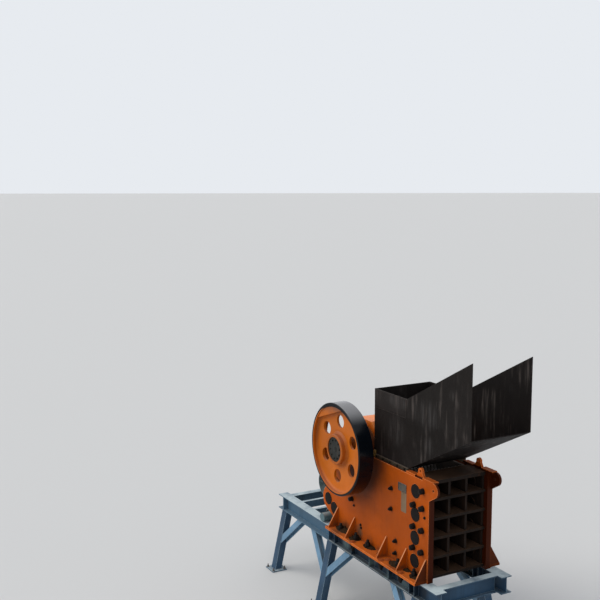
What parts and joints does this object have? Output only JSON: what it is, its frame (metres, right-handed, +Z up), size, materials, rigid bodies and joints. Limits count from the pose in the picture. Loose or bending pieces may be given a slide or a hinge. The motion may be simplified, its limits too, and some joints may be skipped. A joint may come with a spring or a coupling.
{
  "type": "jaw crusher on a steel stand",
  "caption": "Stationary jaw crusher with a spoked flywheel, V-belt drive, motor and rising feed chute, on a braced H-beam stand with splayed legs.",
  "frame": {"origin": "centre of the bounding box on the ground, between the legs' base plates", "axes": "+X along the crusher to its feed end, +Y across to the belt drive side, +Z up"},
  "size_m": [8.42, 3.32, 7.4742],
  "materials": {
    "orange_paint": "weathered gloss",
    "wheel_paint": "weathered gloss with a black rim",
    "dusty_casting": "dusty, dull",
    "manganese_steel": "worn, polished on the teeth",
    "machined_steel": "oily satin",
    "spring_steel": "satin",
    "rusty_chute_plate": "rusty, streaked",
    "yellow_primer": "dusty",
    "blue_paint": "weathered satin",
    "teal_paint": "satin",
    "belt_rubber": "matte"
  },
  "bodies": {
    "frame": {"side_plate_near": "orange_paint", "side_plate_far": "orange_paint", "front_frame": "dusty_casting", "rear_frame": "dusty_casting", "fixed_jaw_die": "manganese_steel", "moving_jaw_die": "manganese_steel", "cheek_plates_near": "manganese_steel", "cheek_plates_far": "manganese_steel", "pitman": "orange_paint", "pitman_cover": "orange_paint", "toggle_plate": "machined_steel", "toggle_seat": "machined_steel", "adjusting_wedges": "machined_steel", "tension_rods": "machined_steel", "tension_springs": "spring_steel", "bearing_housing_near": "orange_paint", "bearing_housing_far": "orange_paint", "chute_wall_near": "rusty_chute_plate", "chute_wall_far": "rusty_chute_plate", "chute_wall_rear": "rusty_chute_plate", "chute_floor": "rusty_chute_plate", "chute_bearers": "yellow_primer", "main_beam_near": "blue_paint", "main_beam_far": "blue_paint", "cross_beams": "blue_paint", "leg_near_rear": "blue_paint", "leg_near_middle": "blue_paint", "leg_near_front": "blue_paint", "leg_far_rear": "blue_paint", "leg_far_middle": "blue_paint", "leg_far_front": "blue_paint", "knee_braces_near": "blue_paint", "knee_braces_far": "blue_paint", "foot_stops": "blue_paint", "motor_rails": "blue_paint", "drive_motor": "teal_paint", "motor_pulley": "machined_steel", "v_belts": "belt_rubber"},
    "rotor": {"eccentric_shaft": "machined_steel", "flywheel": "wheel_paint", "drive_sheave": "wheel_paint", "clamp_ring_near": "machined_steel", "clamp_ring_far": "machined_steel"}
  },
  "joints": [
    {"name": "flywheel_spin", "type": "hinge", "parent": "frame", "child": "rotor", "pos_m": [-0.047, 0, 4.65], "axis": [0, 1, 0], "continuous": true}
  ]
}
